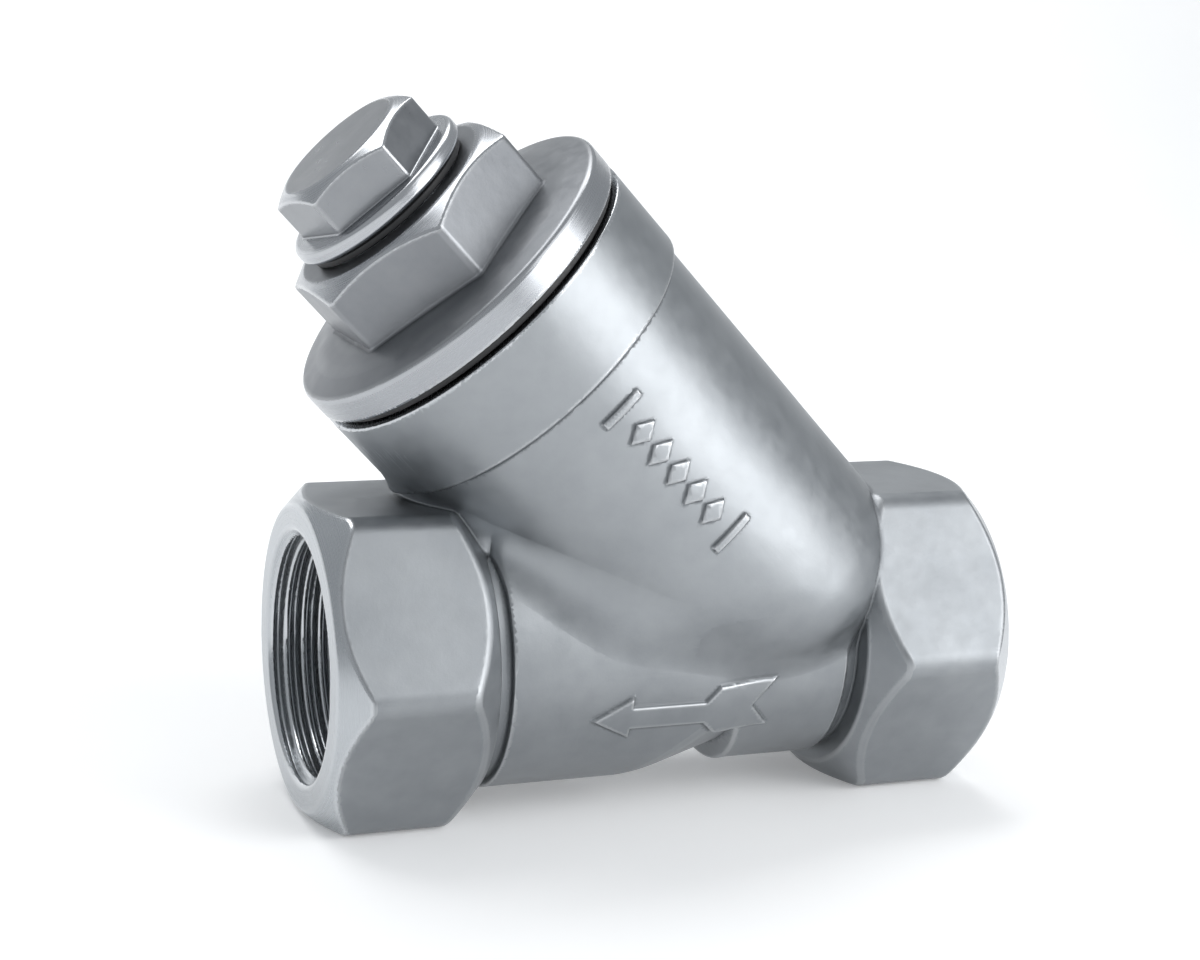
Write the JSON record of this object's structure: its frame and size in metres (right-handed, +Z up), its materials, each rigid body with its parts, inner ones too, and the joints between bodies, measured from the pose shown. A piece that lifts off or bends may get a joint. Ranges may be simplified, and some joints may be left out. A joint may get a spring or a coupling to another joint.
{
  "type": "y strainer",
  "caption": "Y-pattern pipe strainer with threaded hexagonal ends, a slanted branch holding a removable screen, a screwed hexagonal cap and a blow-down plug.",
  "frame": {"origin": "on the plane that the two hexagonal ends rest on, under the middle of the bounding box in X and Y; mid-run is 1.252 mm along +X from it, and the run axis is 20.5 mm above it", "axes": "+X along the run towards the inlet end, so liquid flows towards -X; +Z up, the way the branch rises; the branch lies in the XZ plane, 46 degrees above -X"},
  "size_m": [0.0956, 0.0476, 0.0915],
  "materials": {
    "cast_steel": "bead-blasted investment casting",
    "machined_steel": "satin",
    "sheet_steel": "rolled sheet and woven wire",
    "ptfe": "dark filled PTFE"
  },
  "bodies": {
    "valve_body": {"body": "cast_steel"},
    "screen": {"screen_perforated_tube": "sheet_steel", "screen_mesh_liner": "sheet_steel", "screen_bottom_ring": "sheet_steel", "screen_top_ring": "sheet_steel", "screen_seam_strip": "sheet_steel"},
    "cap_seal": {"cap_gasket": "ptfe"},
    "cap": {"cap": "cast_steel"},
    "plug_seal": {"plug_gasket": "ptfe"},
    "plug": {"blowdown_plug": "machined_steel"}
  },
  "joints": [
    {"name": "screen_withdraw", "type": "slide", "parent": "valve_body", "child": "screen", "axis": [-0.6947, 0, 0.7193], "range_m": [0, 0.06]},
    {"name": "cap_rise", "type": "slide", "parent": "screen", "child": "cap_seal", "axis": [-0.6947, 0, 0.7193], "range_m": [0, 0.0121]},
    {"name": "cap_turn", "type": "hinge", "parent": "cap_seal", "child": "cap", "pos_m": [0.02131, 0, 0.0205], "axis": [-0.6947, 0, 0.7193], "range_deg": [0, 2160]},
    {"name": "plug_rise", "type": "slide", "parent": "cap", "child": "plug_seal", "axis": [-0.6947, 0, 0.7193], "range_m": [0, 0.0101]},
    {"name": "plug_turn", "type": "hinge", "parent": "plug_seal", "child": "plug", "pos_m": [0.02131, 0, 0.0205], "axis": [-0.6947, 0, 0.7193], "range_deg": [0, 1980]}
  ],
  "couplings": [
    {"joint": "cap_rise", "follows": "cap_turn", "m_per_rad": 0.00031831},
    {"joint": "plug_rise", "follows": "plug_turn", "m_per_rad": 0.00028871}
  ]
}
